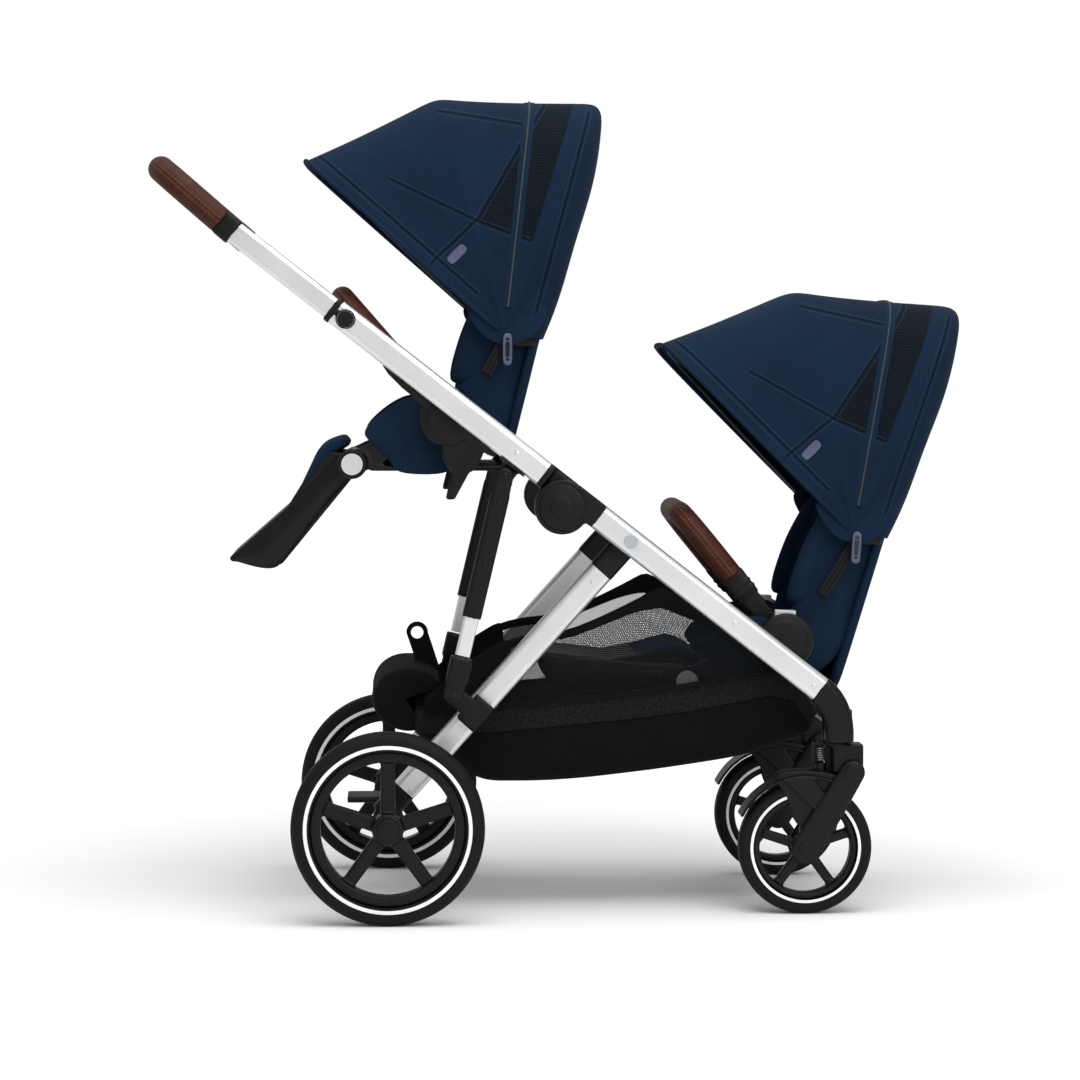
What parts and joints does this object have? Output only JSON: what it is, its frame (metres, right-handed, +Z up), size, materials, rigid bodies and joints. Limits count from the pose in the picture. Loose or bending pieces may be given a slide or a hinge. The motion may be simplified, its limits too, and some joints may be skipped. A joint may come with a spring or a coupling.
{
  "type": "tandem stroller",
  "caption": "Folding in-line stroller with two padded, hooded, reclining seats facing the handle, a sliding leather grip, swivelling sprung front wheels and an open basket below.",
  "frame": {"origin": "bottom centre of the whole stroller's bounding box, on the ground", "axes": "+X forward, away from the handle; +Y to the left side; +Z up"},
  "size_m": [1.2056, 0.64, 1.2033],
  "materials": {
    "aluminium": "satin anodised tube",
    "black_plastic": "fine grained moulding",
    "grey_plastic": "smooth push button",
    "steel": "brushed pin",
    "spring_steel": "bright wire",
    "rubber": "foam filled tyre",
    "leather": "stitched brown leather",
    "navy_fabric": "woven navy twill",
    "black_fabric": "woven black canvas",
    "mesh": "open black mesh"
  },
  "bodies": {
    "chassis": {"lower_tubes": "aluminium", "lower_hubs": "black_plastic", "frame_bolts": "steel", "front_elbows": "black_plastic", "front_crossbar": "aluminium", "lower_adapters": "black_plastic", "basket": "black_fabric", "basket_mesh": "mesh"},
    "rear_frame": {"rear_legs": "aluminium", "leg_caps": "black_plastic", "rear_axle": "steel", "strut_clevises": "black_plastic"},
    "brake": {"brake_pedal": "black_plastic"},
    "upper_frame": {"upper_tubes": "aluminium", "upper_hubs": "black_plastic", "tube_collars": "black_plastic", "strut_brackets": "black_plastic", "upper_adapters": "black_plastic"},
    "handle": {"handle_tubes": "aluminium", "handle_grip": "leather", "grip_collars": "black_plastic"},
    "struts": {"strut_sleeves": "black_plastic", "strut_rods": "aluminium"},
    "height_button_left": {"height_button_left": "black_plastic"},
    "height_button_right": {"height_button_right": "black_plastic"},
    "rear_wheel_left": {"rear_tyre_left": "rubber", "rear_rim_left": "black_plastic"},
    "caster_left": {"caster_left": "black_plastic", "spring_left": "spring_steel"},
    "fork_left": {"fork_left": "black_plastic"},
    "front_wheel_left": {"front_tyre_left": "rubber", "front_rim_left": "black_plastic"},
    "rear_wheel_right": {"rear_tyre_right": "rubber", "rear_rim_right": "black_plastic"},
    "caster_right": {"caster_right": "black_plastic", "spring_right": "spring_steel"},
    "fork_right": {"fork_right": "black_plastic"},
    "front_wheel_right": {"front_tyre_right": "rubber", "front_rim_right": "black_plastic"},
    "upper_seat": {"upper_seat_shell": "black_plastic", "upper_liner": "navy_fabric", "upper_canopy_rear": "navy_fabric"},
    "upper_canopy": {"upper_canopy_front": "navy_fabric", "upper_canopy_bow": "aluminium"},
    "upper_leg_rest": {"upper_leg_rest": "black_plastic"},
    "upper_leg_button": {"upper_leg_button": "grey_plastic"},
    "upper_bumper": {"upper_bumper_arms": "black_plastic", "upper_bumper_grip": "leather"},
    "upper_release": {"upper_release": "grey_plastic"},
    "lower_seat": {"lower_seat_shell": "black_plastic", "lower_liner": "navy_fabric", "lower_canopy_rear": "navy_fabric"},
    "lower_canopy": {"lower_canopy_front": "navy_fabric", "lower_canopy_bow": "aluminium"},
    "lower_leg_rest": {"lower_leg_rest": "black_plastic"},
    "lower_leg_button": {"lower_leg_button": "grey_plastic"},
    "lower_bumper": {"lower_bumper_arms": "black_plastic", "lower_bumper_grip": "leather"},
    "lower_release": {"lower_release": "grey_plastic"}
  },
  "joints": [
    {"name": "frame_fold", "type": "hinge", "parent": "chassis", "child": "upper_frame", "pos_m": [-0.0006, 0, 0.6005], "axis": [0, -1, 0], "range_deg": [0, 30]},
    {"name": "rear_leg_fold", "type": "hinge", "parent": "chassis", "child": "rear_frame", "pos_m": [0.09944, 0, 0.54988], "axis": [0, -1, 0], "range_deg": [0, 14.2]},
    {"name": "strut_pivot", "type": "hinge", "parent": "upper_frame", "child": "struts", "pos_m": [-0.08368, 0, 0.64587], "axis": [0, -1, 0], "range_deg": [-16.9, 0]},
    {"name": "handle_slide", "type": "slide", "parent": "upper_frame", "child": "handle", "axis": [0.788, 0, -0.6157], "range_m": [0, 0.09]},
    {"name": "brake_press", "type": "hinge", "parent": "rear_frame", "child": "brake", "pos_m": [-0.2546, 0, 0.14], "axis": [0, -1, 0], "range_deg": [0, 15]},
    {"name": "height_button_left_press", "type": "slide", "parent": "upper_frame", "child": "height_button_left", "axis": [0, -1, 0], "range_m": [0, 0.003], "stiffness_N_per_m": 400},
    {"name": "height_button_right_press", "type": "slide", "parent": "upper_frame", "child": "height_button_right", "axis": [0, 1, 0], "range_m": [0, 0.003], "stiffness_N_per_m": 400},
    {"name": "rear_wheel_left_spin", "type": "hinge", "parent": "rear_frame", "child": "rear_wheel_left", "pos_m": [-0.2546, 0.2975, 0.14], "axis": [0, 1, 0], "continuous": true},
    {"name": "caster_left_swivel", "type": "hinge", "parent": "chassis", "child": "caster_left", "pos_m": [0.40603, 0.2, 0.2547], "axis": [0, 0, 1], "continuous": true},
    {"name": "fork_left_suspension", "type": "hinge", "parent": "caster_left", "child": "fork_left", "pos_m": [0.42603, 0.2, 0.21], "axis": [0, 1, 0], "range_deg": [0, 3], "stiffness_Nm_per_rad": 60, "springref_deg": -3.44, "deforming": ["spring_left"]},
    {"name": "front_wheel_left_spin", "type": "hinge", "parent": "fork_left", "child": "front_wheel_left", "pos_m": [0.3584, 0.2, 0.098], "axis": [0, 1, 0], "continuous": true},
    {"name": "rear_wheel_right_spin", "type": "hinge", "parent": "rear_frame", "child": "rear_wheel_right", "pos_m": [-0.2546, -0.2975, 0.14], "axis": [0, 1, 0], "continuous": true},
    {"name": "caster_right_swivel", "type": "hinge", "parent": "chassis", "child": "caster_right", "pos_m": [0.40603, -0.2, 0.2547], "axis": [0, 0, 1], "continuous": true},
    {"name": "fork_right_suspension", "type": "hinge", "parent": "caster_right", "child": "fork_right", "pos_m": [0.42603, -0.2, 0.21], "axis": [0, 1, 0], "range_deg": [0, 3], "stiffness_Nm_per_rad": 60, "springref_deg": -3.44, "deforming": ["spring_right"]},
    {"name": "front_wheel_right_spin", "type": "hinge", "parent": "fork_right", "child": "front_wheel_right", "pos_m": [0.3584, -0.2, 0.098], "axis": [0, 1, 0], "continuous": true},
    {"name": "upper_seat_recline", "type": "hinge", "parent": "upper_frame", "child": "upper_seat", "pos_m": [-0.1666, 0, 0.7286], "axis": [0, 1, 0], "range_deg": [0, 25]},
    {"name": "upper_canopy_fold", "type": "hinge", "parent": "upper_seat", "child": "upper_canopy", "pos_m": [-0.082, 0, 0.8494], "axis": [0, 1, 0], "range_deg": [0, 50], "deforming": ["upper_canopy_front"]},
    {"name": "upper_leg_rest_tilt", "type": "hinge", "parent": "upper_seat", "child": "upper_leg_rest", "pos_m": [-0.3066, 0, 0.6606], "axis": [0, 1, 0], "range_deg": [0, 45]},
    {"name": "upper_leg_button_press", "type": "slide", "parent": "upper_seat", "child": "upper_leg_button", "axis": [0, 1, 0], "range_m": [0, 0.003], "stiffness_N_per_m": 400},
    {"name": "upper_bumper_swing", "type": "hinge", "parent": "upper_seat", "child": "upper_bumper", "pos_m": [-0.1666, 0, 0.7286], "axis": [0, -1, 0], "range_deg": [0, 15]},
    {"name": "upper_release_press", "type": "slide", "parent": "upper_seat", "child": "upper_release", "axis": [0, 0, -1], "range_m": [0, 0.004], "stiffness_N_per_m": 400},
    {"name": "lower_seat_recline", "type": "hinge", "parent": "chassis", "child": "lower_seat", "pos_m": [0.3301, 0, 0.4022], "axis": [0, 1, 0], "range_deg": [0, 25]},
    {"name": "lower_canopy_fold", "type": "hinge", "parent": "lower_seat", "child": "lower_canopy", "pos_m": [0.43337, 0, 0.55699], "axis": [0, 1, 0], "range_deg": [0, 50], "deforming": ["lower_canopy_front"]},
    {"name": "lower_leg_rest_tilt", "type": "hinge", "parent": "lower_seat", "child": "lower_leg_rest", "pos_m": [0.18781, 0, 0.33913], "axis": [0, -1, 0], "range_deg": [0, 30]},
    {"name": "lower_leg_button_press", "type": "slide", "parent": "lower_seat", "child": "lower_leg_button", "axis": [0, 1, 0], "range_m": [0, 0.003], "stiffness_N_per_m": 400},
    {"name": "lower_bumper_swing", "type": "hinge", "parent": "lower_seat", "child": "lower_bumper", "pos_m": [0.3301, 0, 0.4022], "axis": [0, -1, 0], "range_deg": [0, 15]},
    {"name": "lower_release_press", "type": "slide", "parent": "lower_seat", "child": "lower_release", "axis": [-0.0349, 0, -0.9994], "range_m": [0, 0.004], "stiffness_N_per_m": 400}
  ],
  "couplings": [
    {"joint": "rear_leg_fold", "follows": "frame_fold", "ratio": 0.47},
    {"joint": "strut_pivot", "follows": "frame_fold", "ratio": -0.56}
  ]
}
